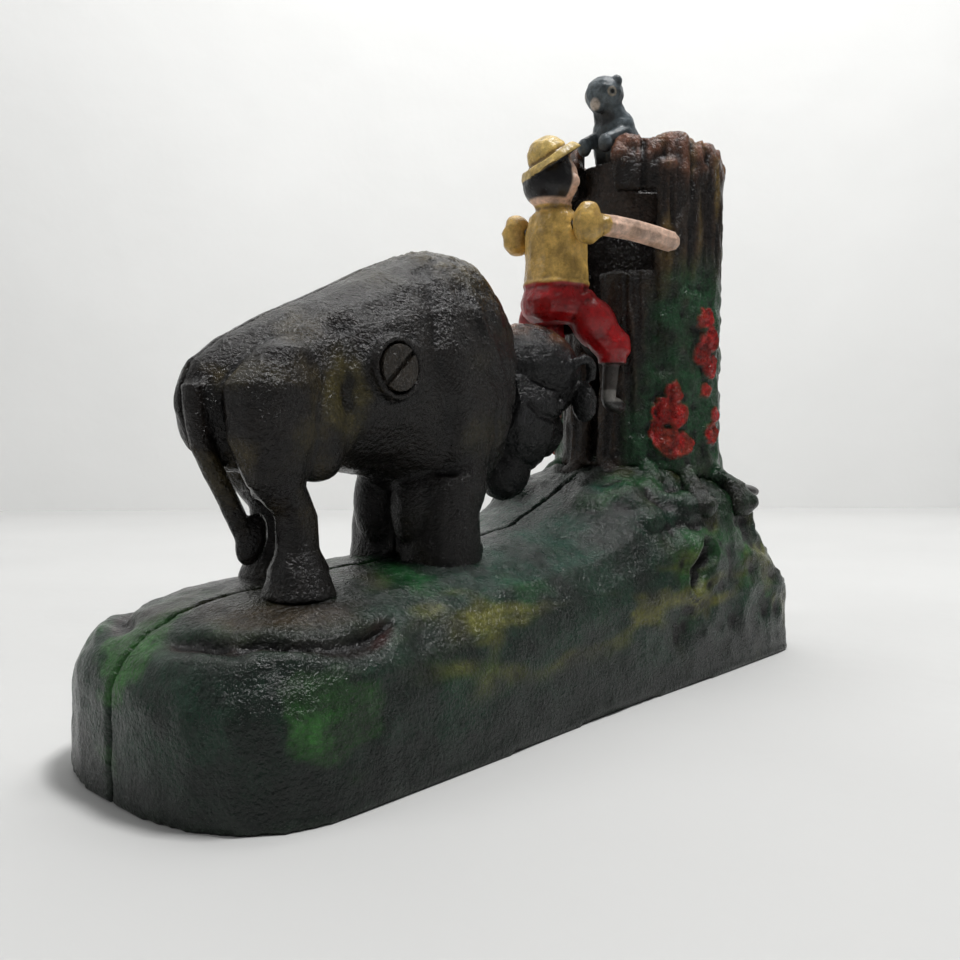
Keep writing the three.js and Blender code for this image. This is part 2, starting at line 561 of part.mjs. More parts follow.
// The slide reaches through the trunk's slot, and its guide plate runs against the bore.
const studY = [1.2, 1.2 + gap + rocker.thickness + 0.7];
const slideStud = { x: trunk.x - rocker.front, z: rocker.z - travel.boy / 2 };
const guideX = trunk.x - Math.sqrt(trunk.bore ** 2 - 25) + runClearance;
const pad = [boyX + 5.9, boyX + 7.3];
piece('boy_slide', cutBy(joined(
  block(pad, [-3.6, 3.6], [deck + 46.6, deck + 53.2]),
  sidePlate([
    [pad[0] + 0.4, deck + 47.2], [guideX + 1, deck + 38], [slideStud.x + 1.8, deck + 38],
    [slideStud.x + 1.8, slideStud.z + 2], [guideX, slideStud.z + 2], [guideX, deck + 43],
    [trunk.front + 4, deck + 43.4], [pad[1] - 0.2, deck + 48.3], [pad[0] + 0.4, deck + 48.3]], -1.2, 1.2),
  block([guideX, guideX + 2], [-5, 5], [deck + 33, deck + 41]),
  crossBar(slideStud.x, slideStud.z, rocker.stud, 0, studY[1])),
  bar([boyX, 0, deck + 50.6], [boyX + 20, 0, deck + 50.6], 1.15)), castIron);
piece('boy_slide_rivet', joined(
  bar([boyX + 2.4, 0, deck + 50.6], [pad[1] + 0.9, 0, deck + 50.6], 1),
  bar([pad[1] + 0.1, 0, deck + 50.6], [pad[1] + 0.9, 0, deck + 50.6], 1.8, 1.5)), screwSteel);

// ---- Rocker between the boy's slide and the raccoon ------------------------------------------------------------
const rockerTilt = Math.atan(travel.boy / 2 / rocker.front);
function rockerBar() {
  const slotHalf = rocker.stud + 0.4;
  const ends = [-rocker.front, rocker.rear].map((reach) => {
    const sign = Math.sign(reach);
    const near = Math.abs(reach) - 1.6;
    const away = Math.abs(reach) / Math.cos(rockerTilt) + 1.5;
    return block([Math.min(sign * near, sign * away), Math.max(sign * near, sign * away)],
      [-5, 20], [-slotHalf, slotHalf]);
  });
  const y0 = studY[0] + gap;
  const flat = sidePlate([
    [-rocker.front / Math.cos(rockerTilt) - 2.4, -2.6], [rocker.rear / Math.cos(rockerTilt) + 2.4, -2.6],
    [rocker.rear / Math.cos(rockerTilt) + 2.4, 2.6], [-rocker.front / Math.cos(rockerTilt) - 2.4, 2.6]],
  y0, y0 + rocker.thickness);
  const degrees = -THREE.MathUtils.radToDeg(rockerTilt);
  return cutBy(flat, ...ends, crossBar(0, 0, rocker.pin + 0.12, -5, 20))
    .rotate([0, degrees, 0]).translate([trunk.x, 0, rocker.z]);
}
piece('rocker', rockerBar(), castIron);
piece('rocker_pin', crossBar(trunk.x, rocker.z, rocker.pin, -12.4, 12.4), screwSteel);

// ---- Raccoon and the carriage that it rides on --------------------------------------------------------------------
const ledge = { bottom: deck + 72, top: deck + 78.8, apron: deck + 86.3, half: 11.6 };
const stemStud = { x: trunk.x + rocker.rear, z: rocker.z + travel.raccoon / 2 };
function raccoonCarriage() {
  const ringOuter = trunk.bore - runClearance;
  const ledgeRing = upBar(trunk.x, 0, ringOuter, ledge.bottom, ledge.top, 36)
    .subtract(upBar(trunk.x, 0, ringOuter - 3, ledge.bottom - 1, ledge.top + 1, 36));
  const hood = ledgeRing.intersect(block([trunk.x - 30, trunk.x - 8], [-ledge.half, ledge.half], [0, far]));
  const apron = upBar(trunk.x, 0, ringOuter, ledge.top - 1, ledge.apron, 36)
    .subtract(upBar(trunk.x, 0, ringOuter - 1, 0, far, 36))
    .intersect(block([trunk.x - 30, trunk.x - 8], [-7.5, 7.5], [0, far]));
  const shelf = upBar(trunk.x, 0, ringOuter - 1, ledge.top - 2, ledge.top, 36)
    .intersect(block([trunk.x - 30, trunk.x + 2], [-6, 6], [0, far]));
  const stem = sidePlate([
    [trunk.x - 2, ledge.top - 2.2], [stemStud.x - 1.6, ledge.top - 2.2], [stemStud.x - 1.6, stemStud.z - 2],
    [stemStud.x + 1.8, stemStud.z - 2], [stemStud.x + 1.8, ledge.top], [trunk.x - 2, ledge.top]], -1.2, 1.2);
  return joined(hood, apron, shelf, stem, crossBar(stemStud.x, stemStud.z, rocker.stud, 0, studY[1]))
    .subtract(upBar(trunk.x - 6, 0, 1.15, 0, far));
}
piece('raccoon_carriage', raccoonCarriage(), barkBrown);

function raccoon() {
  const x = trunk.front + 4.4;
  const at = (height) => deck + height;
  const body = joined(
    upright([
      [ledge.top + gap, x + 5.4, 0, 3.8, 4.6], [at(87), x + 5.2, 0, 4.6, 5.6], [at(92.5), x + 4.4, 0, 5.4, 6],
      [at(96), x + 3, 0, 4.2, 4.6], [at(99.5), x + 0.8, 0, 3.4, 3.6], [at(101), x, 0, 3, 3.2]], 10),
    lump([x - 0.6, 0, at(101.6)], [4.4, 4.6, 4.2], 0.2, 12),
    lump([x - 2.9, 0, at(98.9)], [2.2, 1.9, 1.9], 0.4, 8),
    ...[-1, 1].map((side) => lump([x - 0.4, side * 3.3, at(104.1)], [1.4, 1.3, 1.4], 0, 8)),
    ...[-1, 1].map((side) => joined(
      bar([x + 2.4, side * 3.4, at(93)], [x - 3.4, side * 2.9, at(90.6)], 2, 1.5, 8),
      lump([x - 4.1, side * 2.9, at(89.6)], [1.8, 1.7, 2.2], 0, 8))));
  return body.subtract(upBar(trunk.x - 6, 0, 1.15, 0, ledge.top + 6));
}
piece('raccoon', raccoon(), raccoonGrey);
piece('raccoon_rivet', joined(
  upBar(trunk.x - 6, 0, 1, ledge.top - 3.2, ledge.top + 5),
  upBar(trunk.x - 6, 0, 1.9, ledge.top - 3.2, ledge.top - 2.1)), screwSteel);

export default group;
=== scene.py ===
"""Looks of the cast-iron bison bank: each painted casting is sculpted round its CAD solid."""
import json
import math
import bpy
import numpy as np
from mathutils import Euler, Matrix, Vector


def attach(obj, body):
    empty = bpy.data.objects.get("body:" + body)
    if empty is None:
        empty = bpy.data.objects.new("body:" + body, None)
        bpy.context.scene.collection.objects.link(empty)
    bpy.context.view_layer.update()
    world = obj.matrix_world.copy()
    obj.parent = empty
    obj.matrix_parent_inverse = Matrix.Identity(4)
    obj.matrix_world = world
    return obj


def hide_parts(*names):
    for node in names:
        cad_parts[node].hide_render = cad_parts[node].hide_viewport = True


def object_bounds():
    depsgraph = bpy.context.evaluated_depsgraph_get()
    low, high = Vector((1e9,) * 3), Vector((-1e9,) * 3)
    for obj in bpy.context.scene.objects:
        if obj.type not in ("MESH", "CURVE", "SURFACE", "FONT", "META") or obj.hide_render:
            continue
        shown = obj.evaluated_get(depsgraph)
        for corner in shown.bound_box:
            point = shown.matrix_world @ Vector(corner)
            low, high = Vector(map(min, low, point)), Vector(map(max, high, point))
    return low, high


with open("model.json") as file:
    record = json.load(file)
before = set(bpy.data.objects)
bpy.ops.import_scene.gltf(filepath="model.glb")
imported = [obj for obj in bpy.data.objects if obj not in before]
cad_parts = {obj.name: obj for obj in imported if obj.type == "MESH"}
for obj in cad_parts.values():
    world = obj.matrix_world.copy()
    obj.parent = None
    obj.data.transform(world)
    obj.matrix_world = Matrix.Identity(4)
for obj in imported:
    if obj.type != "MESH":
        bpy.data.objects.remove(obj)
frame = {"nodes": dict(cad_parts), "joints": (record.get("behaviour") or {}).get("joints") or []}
cad_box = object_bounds()

MM = 0.001
joint = {j["name"]: j for j in frame["joints"]}
PIVOT = np.array(joint["bison_head_lift"]["pos_m"]) / MM
ROCKER = np.array(joint["rocker_tilt"]["pos_m"]) / MM
DECK = PIVOT[2] - 35.4  # ground under the hind hooves
TREE_X = ROCKER[0]
TRUNK_RADIUS = 19.0
BOY_X = PIVOT[0] + 60.5
HOOF_Y = 9.2  # each hoof's distance from the middle plane
STAGGER = 8.0  # how far the left hind leg stands ahead of the right one
SEAM = 0.15  # half of the joint between two castings
SIDES = {"right": -1, "left": 1}


# ---- Small tools -----------------------------------------------------------------------------
def deselect():
    bpy.ops.object.select_all(action="DESELECT")


def pick(*objects):
    deselect()
    for thing in objects:
        thing.select_set(True)
    bpy.context.view_layer.objects.active = objects[0]


def copy_of(node, name):
    """A merged copy of a CAD node, ready to be sculpted."""
    mesh = frame["nodes"][node].data.copy()
    mesh.materials.clear()
    thing = bpy.data.objects.new(name, mesh)
    bpy.context.collection.objects.link(thing)
    thing.data.name = name
    pick(thing)
    bpy.ops.object.mode_set(mode="EDIT")
    bpy.ops.mesh.select_all(action="SELECT")
    bpy.ops.mesh.remove_doubles(threshold=0.00001)
    bpy.ops.object.mode_set(mode="OBJECT")
    return thing


def modify(thing, kind, **settings):
    pick(thing)
    bpy.ops.object.modifier_add(type=kind)
    modifier = thing.modifiers[-1]
    for key, value in settings.items():
        setattr(modifier, key, value)
    bpy.ops.object.modifier_apply(modifier=modifier.name)


def settle():
    bpy.ops.object.transform_apply(location=True, rotation=True, scale=True)


def ball(at, radii, tip=(0, 0, 0), segments=24, rings=14):
    """An ellipsoid in millimetres, turned by degrees about X, Y and Z."""
    deselect()
    bpy.ops.mesh.primitive_uv_sphere_add(segments=segments, ring_count=rings, radius=1)
    thing = bpy.context.object
    thing.scale = [value * MM for value in radii]
    thing.rotation_euler = Euler([math.radians(value) for value in tip])
    thing.location = [value * MM for value in at]
    settle()
    return thing


def rod(start, end, radius, end_radius=None, vertices=16):
    """A round bar in millimetres that may taper."""
    deselect()
    start, end = Vector(start) * MM, Vector(end) * MM
    run = end - start
    bpy.ops.mesh.primitive_cone_add(
        vertices=vertices, radius1=radius * MM, radius2=(end_radius or radius) * MM, depth=run.length)
    thing = bpy.context.object
    thing.rotation_euler = run.to_track_quat("Z", "Y").to_euler()
    thing.location = (start + end) / 2
    settle()
    return thing


def ring(at, major, minor, tip=(0, 0, 0)):
    deselect()
    bpy.ops.mesh.primitive_torus_add(
        major_segments=32, minor_segments=12, major_radius=major * MM, minor_radius=minor * MM)
    thing = bpy.context.object
    thing.rotation_euler = Euler([math.radians(value) for value in tip])
    thing.location = [value * MM for value in at]
    settle()
    return thing


def weld(name, parts, voxel, smooth):
    """Joins parts into one casting skin."""
    pick(*parts)
    if len(parts) > 1:
        bpy.ops.object.join()
    thing = bpy.context.object
    thing.name = name
    thing.data.name = name
    modify(thing, "REMESH", mode="VOXEL", voxel_size=voxel * MM)
    if smooth:
        modify(thing, "SMOOTH", factor=0.5, iterations=smooth)
    return thing


# ---- Relief in code: noise, grooves and bosses -----------------------------------------------
def lattice(cell, seed):
    n = (cell[..., 0] * 374761393 + cell[..., 1] * 668265263 + cell[..., 2] * 1274126177 + seed * 974634541)
    n = (n ^ (n >> 13)) * 1274126177
    n = (n ^ (n >> 16)) & 0xFFFFFF
    return n / float(0xFFFFFF)


def noise(points, seed=0):
    """Smooth value noise from -1 to 1."""
    cell = np.floor(points).astype(np.int64)
    part = points - cell
    part = part * part * (3 - 2 * part)
    total = np.zeros(len(points))
    for dx in (0, 1):
        for dy in (0, 1):
            for dz in (0, 1):
                weight = np.ones(len(points))
                for axis, step in enumerate((dx, dy, dz)):
                    weight *= part[:, axis] if step else 1 - part[:, axis]
                total += weight * lattice(cell + (dx, dy, dz), seed)
    return total * 2 - 1


def layered(points, size, octaves=3, seed=0):
    total = np.zeros(len(points))
    share = 1.0
    for octave in range(octaves):
        total += share * noise(points * (2 ** octave) / size + 17.3 * octave, seed + octave)
        share *= 0.5
    return total


def ridged(points, size, octaves=3, seed=0):
    total = np.zeros(len(points))
    share = 1.0
    for octave in range(octaves):
        total += share * (1 - 2 * np.abs(noise(points * (2 ** octave) / size + 9.1 * octave, seed + octave)))
        share *= 0.5
    return total


def ramp(value, low, high):
    t = np.clip((value - low) / (high - low), 0, 1)
    return t * t * (3 - 2 * t)


def near_path(points, path):
    """Distance from each point to a run of straight stretches."""
    best = np.full(len(points), 1e9)
    for a, b in zip(path[:-1], path[1:]):
        a, b = np.array(a, float), np.array(b, float)
        along = np.clip(((points - a) @ (b - a)) / ((b - a) @ (b - a)), 0, 1)
        best = np.minimum(best, np.linalg.norm(points - a - along[:, None] * (b - a), axis=1))
    return best


def dome(distance, radius):
    """1 at the middle of a boss, falling to 0 at its edge."""
    return np.clip(1 - (distance / radius) ** 2, 0, 1)


def places(thing):
    flat = np.empty(3 * len(thing.data.vertices))
    thing.data.vertices.foreach_get("co", flat)
    return flat.reshape(-1, 3) / MM


def normals(thing):
    flat = np.empty(3 * len(thing.data.vertices), dtype=np.float32)
    thing.data.vertices.foreach_get("normal", flat)
    return flat.reshape(-1, 3).astype(float)


def sculpt(thing, relief):
    """Moves each vertex along its normal by relief(place, normal), in millimetres, inside the bank's box."""
    at, out = places(thing), normals(thing)
    moved = np.clip((at + out * relief(at, out)[:, None]) * MM, np.array(cad_box[0]), np.array(cad_box[1]))
    thing.data.vertices.foreach_set("co", moved.ravel())
    thing.data.update()


def hollowness(thing, rounds=6):
    """Above 0 in crevices and below 0 on ridges, spread over a few vertices."""
    mesh = thing.data
    pairs = np.empty(2 * len(mesh.edges), dtype=np.int32)
    mesh.edges.foreach_get("vertices", pairs)
    one, two = pairs.reshape(-1, 2).T
    count = len(mesh.vertices)
    links = np.bincount(one, minlength=count) + np.bincount(two, minlength=count)
    links = np.maximum(links, 1)

    def spread(values):
        return (np.bincount(one, values[two], count) + np.bincount(two, values[one], count)) / links

    at, out = places(thing), normals(thing)
    soft = at.copy()
    for _ in range(rounds):
        soft = np.stack([spread(soft[:, axis]) for axis in range(3)], axis=1)
    depth = np.einsum("ij,ij->i", soft - at, out)
    for _ in range(2):
        depth = spread(depth)
    return depth


def mix(base, colour, share):
    share = np.clip(share, 0, 1)[:, None]
    return base * (1 - share) + np.array(colour)[None, :] * share


def flood(count, colour):
    return np.tile(np.array(colour, float), (count, 1))


def brush(thing, colours):
    """Stores the painted colours on the casting."""
    layer = thing.data.attributes.new("paint", "FLOAT_COLOR", "POINT")
    rgba = np.concatenate([np.clip(colours, 0, 1), np.ones((len(colours), 1))], axis=1)
    layer.data.foreach_set("color", rgba.astype(np.float32).ravel())


# ---- Finishes --------------------------------------------------------------------------------
def new_material(name):
    material = bpy.data.materials.new(name)
    material.use_nodes = True
    tree = material.node_tree
    tree.nodes.clear()
    shader = tree.nodes.new("ShaderNodeBsdfPrincipled")
    output = tree.nodes.new("ShaderNodeOutputMaterial")
    tree.links.new(shader.outputs["BSDF"], output.inputs["Surface"])
    where = tree.nodes.new("ShaderNodeTexCoord")
    return material, tree, shader, where.outputs["Object"]


def add_noise(tree, where, scale, detail=3.0, rough=0.55):
    node = tree.nodes.new("ShaderNodeTexNoise")
    node.inputs["Scale"].default_value = scale
    node.inputs["Detail"].default_value = detail
    node.inputs["Roughness"].default_value = rough
    tree.links.new(where, node.inputs["Vector"])
    return node.outputs["Fac"]


def add_ramp(tree, value, stops):
    node = tree.nodes.new("ShaderNodeValToRGB")
    points = node.color_ramp.elements
    while len(points) < len(stops):
        points.new(0.5)
    for point, (place, colour) in zip(points, stops):
        point.position = place
        point.color = (*colour, 1) if len(colour) == 3 else colour
    tree.links.new(value, node.inputs["Fac"])
    return node.outputs["Color"]


def grey(value):
    return (value, value, value)


def blend_colour(tree, kind, share, first, second):
    node = tree.nodes.new("ShaderNodeMix")
    node.data_type = "RGBA"
    node.blend_type = kind
    if isinstance(share, float):
        node.inputs["Factor"].default_value = share
    else:
        tree.links.new(share, node.inputs["Factor"])
    tree.links.new(first, node.inputs["A"])
    tree.links.new(second, node.inputs["B"])
    return node.outputs["Result"]


def add_bump(tree, shader, layers):
    """Stacks bump layers of (height, strength, depth in millimetres)."""
    normal = None
    for height, strength, depth in layers:
        node = tree.nodes.new("ShaderNodeBump")
        node.inputs["Strength"].default_value = strength
        node.inputs["Distance"].default_value = depth * MM
        tree.links.new(height, node.inputs["Height"])
        if normal:
            tree.links.new(normal, node.inputs["Normal"])
        normal = node.outputs["Normal"]
    tree.links.new(normal, shader.inputs["Normal"])


def enamel(name, gloss=(0.22, 0.42), shine=0.5, grain=1.0, speckle=(0.55, 1.3)):
    """Antique paint on rough cast iron under lacquer, coloured by the paint attribute."""
    material, tree, shader, where = new_material(name)
    paint = tree.nodes.new("ShaderNodeAttribute")
    paint.attribute_name = "paint"
    dots = add_noise(tree, where, 1100, 5, 0.7)
    fleck = add_ramp(tree, dots, [(0.35, grey(speckle[0])), (0.65, grey(speckle[1]))])
    coloured = blend_colour(tree, "MULTIPLY", 1.0, paint.outputs["Color"], fleck)
    wear = add_noise(tree, where, 260, 6, 0.7)
    faded = add_ramp(tree, wear, [(0.38, grey(0.6)), (0.62, grey(1.2))])
    tree.links.new(blend_colour(tree, "MULTIPLY", 1.0, coloured, faded), shader.inputs["Base Color"])
    dull = add_ramp(tree, add_noise(tree, where, 420, 4), [(0.35, grey(gloss[0])), (0.65, grey(gloss[1]))])
    tree.links.new(dull, shader.inputs["Roughness"])
    shader.inputs["Specular IOR Level"].default_value = shine
    add_bump(tree, shader, [
        (add_noise(tree, where, 1500, 3, 0.6), grain, 0.5),
        (add_noise(tree, where, 420, 3), grain * 0.5, 0.5)])
    return material


def iron(name, low, high, rough=(0.38, 0.62), metallic=0.7):
    """Bare or japanned iron with cast grain and handling wear."""
    material, tree, shader, where = new_material(name)
    cloudy = add_noise(tree, where, 180, 5, 0.65)
    tree.links.new(add_ramp(tree, cloudy, [(0.35, low), (0.7, high)]), shader.inputs["Base Color"])
    dull = add_ramp(tree, add_noise(tree, where, 500, 3), [(0.3, grey(rough[0])), (0.7, grey(rough[1]))])
    tree.links.new(dull, shader.inputs["Roughness"])
    shader.inputs["Metallic"].default_value = metallic
    add_bump(tree, shader, [(add_noise(tree, where, 1500, 4), 0.4, 0.15)])
    return material


def finish_piece(thing, body, slot, material, *nodes):
    thing.data.materials.clear()
    thing.data.materials.append(material)
    pick(thing)
    bpy.ops.object.shade_smooth()
    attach(thing, body)
    if nodes:
        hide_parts(*nodes)


# ---- Colours ---------------------------------------------------------------------------------
BLACK = (0.004, 0.0035, 0.0035)
UMBER = (0.045, 0.026, 0.014)
DARK_GREEN = (0.006, 0.024, 0.013)
LEAF_GREEN = (0.016, 0.088, 0.022)
BLUE_GREEN = (0.006, 0.050, 0.030)
OLIVE = (0.105, 0.105, 0.018)
RUST = (0.200, 0.085, 0.050)
FLOWER_RED = (0.420, 0.012, 0.010)
MUSTARD = (0.640, 0.410, 0.110)
STRAW = (0.740, 0.530, 0.170)
FLESH = (0.780, 0.530, 0.400)
TROUSER_RED = (0.330, 0.006, 0.008)
SLATE = (0.105, 0.130, 0.145)
PALE = (0.500, 0.430, 0.370)


# ---- Ground castings -------------------------------------------------------------------------
RUT = {"x": PIVOT[0] - 17, "along": 21, "across": 24}


KNOLLS = [  # place beside the tree, width and height of each stone under the moss
    ((4, 11, 39), 5.5, 1.7), ((9.5, 15.5, 40), 5, 1.9), ((10, 21, 36.5), 4.5, 1.5),
    ((22, 23.5, 37.5), 4.8, 1.6), ((36, 25, 37), 5, 1.3), ((17, 27, 29), 5, 1.2),
    ((27, 28, 24), 4.6, 1.2), ((50, 24, 36), 6, 1.4),
]


def rut_distance(x, y):
    """1 along the oval of the rut worn behind the hooves."""
    return np.sqrt(((x - RUT["x"]) / RUT["along"]) ** 2 + (y / RUT["across"]) ** 2)


def rut_reach(x, y):
    """1 where the rut is deep, fading out towards both of its ends."""
    bearing = np.degrees(np.arctan2(np.abs(y), x - RUT["x"]))
    return ramp(bearing, 62, 80) * (1 - ramp(bearing, 150, 172))


def ground_relief(at, out):
    x, y, z = at.T
    outer = (out[:, 2] > -0.35) & (z > 1.5) & ~((np.abs(y) < 1.2) & (np.abs(out[:, 1]) > 0.8))
    rocky = ramp(x, BOY_X - 12, BOY_X + 12)
    high = ramp(z, 4, 14)
    move = 0.35 * layered(at, 14, 2, 3) + 0.16 * layered(at, 3.2, 3, 5)
    move += rocky * high * (0.9 * ridged(at, 11, 3, 11) - 0.6)
    away = rut_distance(x, y) + 0.05 * noise(at / 5, 21)
    reach = rut_reach(x, y)
    crease = np.exp(-(((away - 1) / 0.055) ** 2)) * reach
    move -= crease * (1.9 + 0.5 * noise(at / 2.2, 22))
    move += 0.7 * np.exp(-(((away - 1.13) / 0.06) ** 2)) * reach
    side = np.abs(y)
    leaf = near_path(np.stack([x, side * 0.5, z], 1), [(17, 14, 22.5), (21.5, 14, 27)])
    move -= 2.2 * dome(leaf, 3.4) * (side > 20)
    move += 0.7 * np.exp(-(((leaf - 4) / 0.7) ** 2)) * (side > 20)
    for centre, radius, depth in KNOLLS:
        spot = np.stack([x, side, z], 1) - np.array(centre, float)
        move += depth * dome(np.linalg.norm(spot, axis=1), radius)
    return np.where(outer, move, 0)


def ground_paint(thing):
    at, out = places(thing), normals(thing)
    x, y, z = at.T
    pit = hollowness(thing)
    patch = layered(at, 16, 3, 31)
    colour = flood(len(at), DARK_GREEN)
    colour = mix(colour, LEAF_GREEN, ramp(patch + 0.3 * out[:, 2], 0.25, 0.75) * ramp(z, 8, 20) * 0.8)
    rear_daub = dome(np.linalg.norm(at - (PIVOT[0] - 37, 0, 21), axis=1), 12)
    one_side = np.stack([x, np.abs(y), z], 1)
    side_daub = dome(np.linalg.norm(one_side - (PIVOT[0] - 24, 27, 14), axis=1), 12)
    daub = np.maximum(rear_daub, side_daub)
    wisps = layered(at * (0.6, 1, 1.3), 5, 4, 33)
    colour = mix(colour, (0.030, 0.120, 0.022), ramp(daub + 0.3 * patch + 0.35 * wisps, 0.35, 0.65) * 0.85)
    colour = mix(colour, BLUE_GREEN, ramp(out[:, 2], 0.75, 0.98) * ramp(x, -60, -20) * (1 - ramp(x, 5, 15)))
    streak = layered(at * (0.45, 1, 1.2), 7, 3, 41)
    band = ramp(x, -70, -45) * ramp(z, 9, 16) * (1 - ramp(z, 24, 32))
    colour = mix(colour, OLIVE, ramp(streak, 0.15, 0.75) * band)
    colour = mix(colour, OLIVE, ramp(layered(at, 9, 3, 43), 0.2, 0.8) * ramp(x, 5, 25) * 0.8)
    away = rut_distance(x, y)
    colour = mix(colour, UMBER, (1 - ramp(away, 0.75, 1.02)) * ramp(layered(at, 8, 2, 47), -0.7, 0.3) * 0.75)
    # painted shade: the rut's crease is darkened along its whole length
    groove = np.exp(-(((away - 0.995) / 0.075) ** 2)) * rut_reach(x, y)
    colour = mix(colour, (0.024, 0.009, 0.008), ramp(groove, 0.15, 0.7))
    # painted shadow: the ground round the hooves is darkened where the bison stands on it
    hind_feet = np.hypot(x - PIVOT[0] + 14, np.abs(y) - HOOF_Y)
    fore_feet = np.hypot(x - PIVOT[0] - 18, np.abs(y) * 0.6)
    feet = np.minimum(hind_feet, fore_feet)
    colour = mix(colour, BLACK, (1 - ramp(feet, 6, 12)) * 0.85)
    # painted shade: a dark ring on the ground round the trunk's foot
    trunk_foot = np.hypot(x - TREE_X, y)
    colour = mix(colour, BLACK, (1 - ramp(trunk_foot, 21, 27)) * 0.75 * ramp(z, 30, 36))
    # painted shade: the ground's walls get darker towards the bottom
    colour = mix(colour, (0.007, 0.010, 0.008), (1 - ramp(z + 5 * noise(at / 10, 51), 3, 14)) * 0.85)
    murk = ramp(layered(at * (1, 1, 1.6), 11, 4, 53), -0.1, 0.55)
    colour = mix(colour, (0.006, 0.009, 0.007), murk * 0.7)
    # painted shade in the hollows
    colour = mix(colour, BLACK, ramp(pit, 0.02, 0.14))
    # painted highlight on the ridges
    colour = mix(colour, colour.mean(axis=0) * 2.0, ramp(-pit, 0.06, 0.22) * 0.15)
    inside = (out[:, 2] < -0.5) | ((z < 1) & (np.abs(out[:, 2]) > 0.7))
    brush(thing, np.where(inside[:, None], flood(len(at), BLACK), colour))


ground_enamel = enamel("ground_enamel", gloss=(0.12, 0.34), shine=0.34, grain=0.85)
for side in SIDES:
    node = f"base_{side}_half"
    ground = weld(f"ground_casting_{side}", [copy_of(node, node + "_copy")], voxel=0.62, smooth=3)
    sculpt(ground, ground_relief)
    modify(ground, "SMOOTH", factor=0.4, iterations=1)
    ground_paint(ground)
    finish_piece(ground, "casting", "ground_paint", ground_enamel, node)


# ---- Bison body ------------------------------------------------------------------------------
def mane_share(at):
    """1 over the shaggy forequarters, 0 over the smooth flank and rump."""
    return ramp(at[:, 0] + 0.28 * (at[:, 2] - PIVOT[2]), PIVOT[0] + 12, PIVOT[0] + 24)


def shag(at, length=6.0, width=1.25, seed=61):
    """Locks of hair that hang down and back."""
    x, y, z = at.T
    bend = 1.6 * noise(at / 9, seed)
    across = np.stack([(x + 0.45 * z + bend) / width, y / width, (z - 0.5 * x) / length], axis=1)
    return noise(across, seed + 1) + 0.5 * noise(across * 2.1, seed + 2)


def bison_relief(at, out):
    x, y, z = at.T
    outer = ~((np.abs(y) < 1.0) & (np.abs(out[:, 1]) > 0.8))
    hair = mane_share(at)
    move = hair * (0.36 * shag(at) + 0.35 * layered(at, 5, 2, 64))
    move += (1 - hair) * (0.14 * layered(at, 4, 2, 65) + 0.05 * noise(at / 0.9, 66))
    side = np.abs(y)
    flat = np.stack([x, z], 1)
    px, pz = PIVOT[0], PIVOT[2]
    flank = near_path(flat, [(px - 8, pz + 6), (px - 9, pz - 8), (px - 7, pz - 17)])
    move -= 0.8 * np.exp(-((flank / 2.0) ** 2)) * (side > 7)
    shoulder = near_path(flat, [(px + 12, pz + 18), (px + 9, pz + 4), (px + 13, pz - 12)])
    move -= 0.6 * np.exp(-((shoulder / 1.8) ** 2)) * (side > 7)
    collar = np.hypot(x - PIVOT[0], z - PIVOT[2])
    move += 0.5 * np.exp(-(((collar - 37.2) / 1.4) ** 2)) * hair
    screw_seat = 1 - ramp(collar, 5.0, 5.8)
    return np.where(outer, move, 0) * (1 - screw_seat)


def bison_paint(thing):
    at = places(thing)
    x, _, z = at.T
    pit = hollowness(thing)
    hair = mane_share(at)
    colour = flood(len(at), (0.008, 0.006, 0.005))
    rump = (1 - ramp(x, PIVOT[0] - 22, PIVOT[0] - 4)) * ramp(layered(at, 7, 3, 71), -0.1, 0.8)
    colour = mix(colour, (0.080, 0.060, 0.020), rump * 0.5)
    # painted highlight: a lighter patch on the haunch's bulge
    hip_highlight = np.hypot((x - PIVOT[0] + 9) / 5, (z - PIVOT[2] + 5) / 9) + 0.25 * layered(at, 4, 3, 73)
    colour = mix(colour, (0.085, 0.070, 0.018), (1 - ramp(hip_highlight, 0.5, 1.1)) * 0.55)
    colour = mix(colour, (0.055, 0.046, 0.020), ramp(layered(at, 9, 2, 72), 0.2, 0.9) * 0.4)
    # brown paint on the crest of the mane, laid on its raised locks as a painted highlight
    crest = ramp(z, DECK + 50, DECK + 58) * hair
    colour = mix(colour, (0.150, 0.120, 0.055), crest * ramp(-pit, -0.02, 0.08) * 0.5)
    # rust-brown paint on the front of the mane, strongest on the raised locks as a painted highlight
    front = ramp(np.hypot(x - PIVOT[0], z - PIVOT[2]), 34.5, 38) * ramp(z, PIVOT[2] + 4, PIVOT[2] + 16)
    colour = mix(colour, (0.360, 0.130, 0.045), front * ramp(-pit, -0.05, 0.06) * 0.85)
    # painted shade in the hollows
    colour = mix(colour, BLACK, ramp(pit, 0.0, 0.10) * 0.9)
    # painted shade: darker towards the bottom, under the belly
    colour = mix(colour, BLACK, (1 - ramp(z, DECK + 12, DECK + 26)) * 0.5)
    brush(thing, colour)


